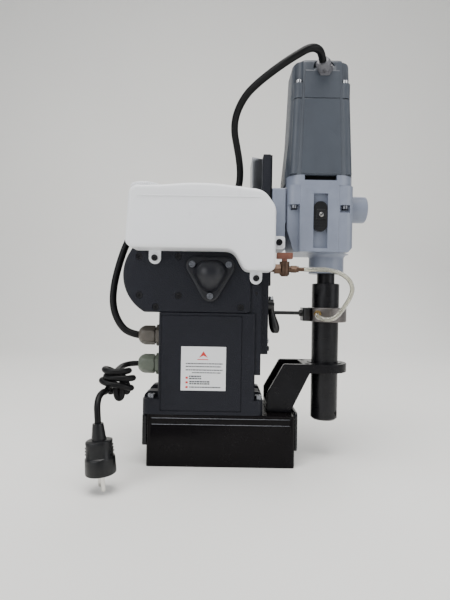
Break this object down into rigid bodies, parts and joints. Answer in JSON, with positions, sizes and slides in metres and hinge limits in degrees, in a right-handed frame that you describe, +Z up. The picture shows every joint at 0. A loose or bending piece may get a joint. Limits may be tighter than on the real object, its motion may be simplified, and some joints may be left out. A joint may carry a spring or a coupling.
{
  "type": "magnetic drill press",
  "caption": "Magnet-base drilling machine with a column, dovetail carriage, geared motor head, coolant tank and lower arbor support.",
  "frame": {"origin": "centre of the magnet's bottom face", "axes": "+Z up along the spindle, +X forwards towards the spindle, -Y the side with the coolant tank"},
  "size_m": [0.3666, 0.2601, 0.5595],
  "materials": {
    "magnet_shell": "gloss black, worn edges",
    "magnet_coil": "winding cast in dark resin",
    "end_plates": "gloss black",
    "magnet_screws": "black oxide with worn rims",
    "column_casting": "textured black; machined ways",
    "side_cover": "textured black",
    "rating_label": "printed label, text left out",
    "control_board": "circuit board",
    "gib_strip": "machined",
    "gib_screws": "black oxide",
    "cable_glands": "grey nylon",
    "feed_housing": "textured black",
    "feed_cover": "textured black",
    "bearing_cap": "gloss black",
    "cover_screws": "black oxide",
    "shaft_bearings": "ground",
    "feed_shaft": "machined",
    "handle_hub": "machined",
    "handle_grips": "moulded",
    "pinion_shaft": "machined",
    "feed_rack": "machined",
    "carriage_slide": "black plate with machined dovetail",
    "motor_bracket": "light grey",
    "gearbox_housing": "light grey casting",
    "motor_flange": "light grey casting",
    "motor_housing": "dark blue-grey moulding",
    "motor_end_cap": "dark blue-grey moulding",
    "motor_screws": "zinc plated",
    "motor_gland": "light grey nylon",
    "stator": "laminations and winding",
    "brush_holders": "brass",
    "ball_bearings": "ground",
    "armature": "laminations, commutator and fan",
    "layshaft_gear": "machined",
    "spindle": "ground",
    "arbor": "black oxide",
    "arbor_set_screws": "black oxide",
    "coolant_collar": "turned",
    "collar_arm": "steel",
    "collar_elbow": "machined",
    "support_bracket": "black casting",
    "support_bushing": "bearing bronze",
    "coolant_tank": "white polyethylene",
    "tank_cap": "white polyethylene",
    "tank_strap": "black",
    "valve_body": "tarnished",
    "valve_handle": "tarnished",
    "selector_knob": "ribbed black moulding",
    "clamp_lever": "black",
    "control_panel": "black",
    "magnet_switch": "rocker",
    "start_button": "green",
    "stop_button": "red",
    "mains_cord_upper": "black sheath",
    "mains_cord_lower": "black sheath",
    "cord_hank": null,
    "mains_plug": "moulded rubber",
    "plug_pins": "nickel plated",
    "motor_cable": "black sheath",
    "coolant_hose": "clear flexible tube"
  },
  "bodies": {
    "base": {"magnet_shell": "magnet_shell", "magnet_coil": "magnet_coil", "end_plates": "end_plates", "magnet_screws": "magnet_screws", "column_casting": "column_casting", "side_cover": "side_cover", "rating_label": "rating_label", "control_board": "control_board", "gib_strip": "gib_strip", "gib_screws": "gib_screws", "cable_glands": "cable_glands", "feed_housing": "feed_housing", "feed_cover": "feed_cover", "bearing_cap": "bearing_cap", "cover_screws": "cover_screws", "shaft_bearings": "shaft_bearings", "support_bracket": "support_bracket", "support_bushing": "support_bushing", "coolant_tank": "coolant_tank", "tank_strap": "tank_strap", "valve_body": "valve_body", "control_panel": "control_panel", "mains_cord_upper": "mains_cord_upper", "mains_cord_lower": "mains_cord_lower", "cord_hank": "cord_hank", "mains_plug": "mains_plug", "plug_pins": "plug_pins", "motor_cable": "motor_cable", "coolant_hose": "coolant_hose"},
    "carriage": {"carriage_slide": "carriage_slide", "feed_rack": "feed_rack", "motor_bracket": "motor_bracket", "gearbox_housing": "gearbox_housing", "motor_flange": "motor_flange", "motor_housing": "motor_housing", "motor_end_cap": "motor_end_cap", "motor_screws": "motor_screws", "motor_gland": "motor_gland", "stator": "stator", "brush_holders": "brush_holders", "ball_bearings": "ball_bearings", "coolant_collar": "coolant_collar", "collar_arm": "collar_arm", "collar_elbow": "collar_elbow"},
    "spindle": {"spindle": "spindle", "arbor": "arbor", "arbor_set_screws": "arbor_set_screws"},
    "armature": {"armature": "armature"},
    "layshaft": {"layshaft_gear": "layshaft_gear"},
    "feed_handle": {"feed_shaft": "feed_shaft", "handle_hub": "handle_hub", "handle_grips": "handle_grips"},
    "rack_pinion": {"pinion_shaft": "pinion_shaft"},
    "speed_selector": {"selector_knob": "selector_knob"},
    "carriage_clamp": {"clamp_lever": "clamp_lever"},
    "tank_valve": {"valve_handle": "valve_handle"},
    "filler_cap": {"tank_cap": "tank_cap"},
    "magnet_rocker": {"magnet_switch": "magnet_switch"},
    "start": {"start_button": "start_button"},
    "stop": {"stop_button": "stop_button"}
  },
  "joints": [
    {"name": "carriage_travel", "type": "slide", "parent": "base", "child": "carriage", "axis": [0, 0, -1], "range_m": [0, 0.05], "deforming": ["coolant_hose", "motor_cable"]},
    {"name": "pinion_turn", "type": "hinge", "parent": "base", "child": "rack_pinion", "pos_m": [0.027, 0, 0.258], "axis": [0, 1, 0], "range_deg": [-1, 329]},
    {"name": "handle_turn", "type": "hinge", "parent": "base", "child": "feed_handle", "pos_m": [-0.017, 0, 0.258], "axis": [0, -1, 0], "range_deg": [-1, 228]},
    {"name": "spindle_turn", "type": "hinge", "parent": "carriage", "child": "spindle", "pos_m": [0.149, 0, 0.2], "axis": [0, 0, 1], "continuous": true},
    {"name": "layshaft_turn", "type": "hinge", "parent": "carriage", "child": "layshaft", "pos_m": [0.12921, 0.0198, 0.36], "axis": [0, 0, 1], "continuous": true},
    {"name": "armature_turn", "type": "hinge", "parent": "carriage", "child": "armature", "pos_m": [0.132, 0, 0.45], "axis": [0, 0, 1], "continuous": true},
    {"name": "selector_slide", "type": "slide", "parent": "carriage", "child": "speed_selector", "axis": [0, 0, -1], "range_m": [0, 0.02]},
    {"name": "clamp_turn", "type": "hinge", "parent": "carriage", "child": "carriage_clamp", "pos_m": [0.068, -0.014, 0.219], "axis": [1, 0, 0], "range_deg": [-75, 15]},
    {"name": "valve_turn", "type": "hinge", "parent": "base", "child": "tank_valve", "pos_m": [0.0796, -0.07, 0.28], "axis": [0, 0, 1], "range_deg": [0, 90]},
    {"name": "cap_turn", "type": "hinge", "parent": "base", "child": "filler_cap", "pos_m": [-0.102, -0.073, 0.37], "axis": [0, 0, 1], "range_deg": [0, 150]},
    {"name": "rocker_tilt", "type": "hinge", "parent": "base", "child": "magnet_rocker", "pos_m": [-0.04, 0.05, 0.15], "axis": [1, 0, 0], "range_deg": [-12, 12]},
    {"name": "start_press", "type": "slide", "parent": "base", "child": "start", "axis": [0, -1, 0], "range_m": [0, 0.003], "stiffness_N_per_m": 800},
    {"name": "stop_press", "type": "slide", "parent": "base", "child": "stop", "axis": [0, -1, 0], "range_m": [0, 0.003], "stiffness_N_per_m": 800}
  ],
  "couplings": [
    {"joint": "pinion_turn", "follows": "carriage_travel", "rad_per_m": 114.29},
    {"joint": "handle_turn", "follows": "carriage_travel", "rad_per_m": 79.121},
    {"joint": "layshaft_turn", "follows": "spindle_turn", "ratio": -2.5},
    {"joint": "armature_turn", "follows": "spindle_turn", "ratio": 7.5}
  ]
}
